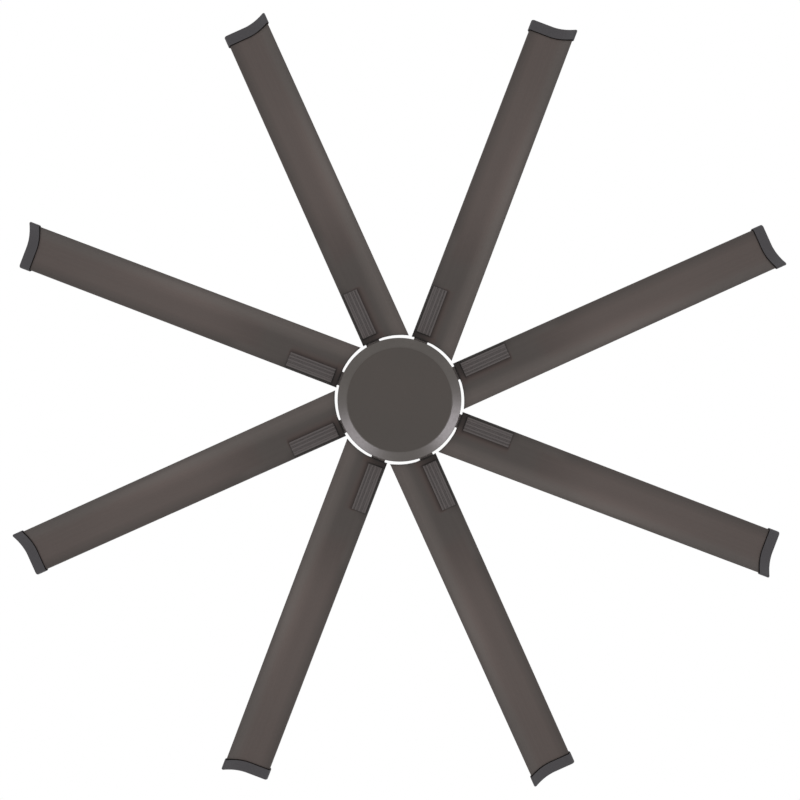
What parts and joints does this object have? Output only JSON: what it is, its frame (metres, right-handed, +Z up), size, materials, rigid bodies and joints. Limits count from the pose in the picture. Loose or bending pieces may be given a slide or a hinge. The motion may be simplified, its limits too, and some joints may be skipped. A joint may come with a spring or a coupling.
{
  "type": "ceiling fan",
  "caption": "Large downrod ceiling fan with eight extruded, curved blades on ribbed clamp plates round a flush bevelled hub cap, hung from a ball in a ceiling canopy.",
  "frame": {"origin": "on the fan's axis, on the ceiling face that the bracket is screwed to", "axes": "+Z points up along the fan's axis into the ceiling; the swing joint's axis is X; the canopy screws lie on X and the mouth of the bracket's cradle faces +Y"},
  "size_m": [2.0132, 2.0132, 0.3748],
  "materials": {
    "blade_paint": "dark bronze powder coat on extruded aluminium",
    "cap_plastic": "moulded charcoal plastic",
    "plate_paint": "dark bronze powder coat on cast aluminium",
    "arm_paint": "dark bronze powder coat on cast aluminium",
    "housing_paint": "dark bronze paint on steel",
    "cover_paint": "dark bronze paint on spun aluminium",
    "motor_metal": "cast and turned, bare",
    "magnet": "matt black magnet segments",
    "bright_steel": "ground or plated steel",
    "stator_steel": "stacked steel sheets, varnished",
    "copper": "varnished copper wire",
    "cast_steel": "grey plated steel",
    "ball_plastic": "black glass-filled plastic",
    "receiver_plastic": "black plastic case"
  },
  "bodies": {
    "ceiling_side": {"ceiling_bracket": "cast_steel", "canopy": "housing_paint", "canopy_trim": "housing_paint", "receiver": "receiver_plastic", "canopy_screw_left": "bright_steel", "canopy_screw_right": "bright_steel"},
    "hanging_motor": {"hanger_ball": "ball_plastic", "hanger_pin": "bright_steel", "downrod": "housing_paint", "coupling_cover": "housing_paint", "motor_yoke": "cast_steel", "yoke_pin": "bright_steel", "yoke_set_screw": "bright_steel", "motor_shaft": "bright_steel", "stator_core": "stator_steel", "stator_windings": "copper", "upper_bearing_inner_race": "bright_steel", "lower_bearing_inner_race": "bright_steel", "lower_plate": "motor_metal", "shaft_nut": "bright_steel", "upper_housing": "cover_paint", "bottom_cap": "cover_paint"},
    "rotor": {"rotor_base": "motor_metal", "rotor_bell": "motor_metal", "magnet_ring": "magnet", "upper_bearing_outer_race": "bright_steel", "lower_bearing_outer_race": "bright_steel", "blade_1": "blade_paint", "blade_2": "blade_paint", "blade_3": "blade_paint", "blade_4": "blade_paint", "blade_5": "blade_paint", "blade_6": "blade_paint", "blade_7": "blade_paint", "blade_8": "blade_paint", "tip_cap_1": "cap_plastic", "tip_cap_2": "cap_plastic", "tip_cap_3": "cap_plastic", "tip_cap_4": "cap_plastic", "tip_cap_5": "cap_plastic", "tip_cap_6": "cap_plastic", "tip_cap_7": "cap_plastic", "tip_cap_8": "cap_plastic", "clamp_plate_1": "plate_paint", "clamp_plate_2": "plate_paint", "clamp_plate_3": "plate_paint", "clamp_plate_4": "plate_paint", "clamp_plate_5": "plate_paint", "clamp_plate_6": "plate_paint", "clamp_plate_7": "plate_paint", "clamp_plate_8": "plate_paint", "blade_arm_1": "arm_paint", "blade_arm_2": "arm_paint", "blade_arm_3": "arm_paint", "blade_arm_4": "arm_paint", "blade_arm_5": "arm_paint", "blade_arm_6": "arm_paint", "blade_arm_7": "arm_paint", "blade_arm_8": "arm_paint"}
  },
  "joints": [
    {"name": "hanger_swing", "type": "hinge", "parent": "ceiling_side", "child": "hanging_motor", "pos_m": [0, 0, -0.05658], "axis": [1, 0, 0], "range_deg": [-12, 12]},
    {"name": "rotor_spin", "type": "hinge", "parent": "hanging_motor", "child": "rotor", "pos_m": [0, 0, -0.32678], "axis": [0, 0, 1], "continuous": true}
  ]
}
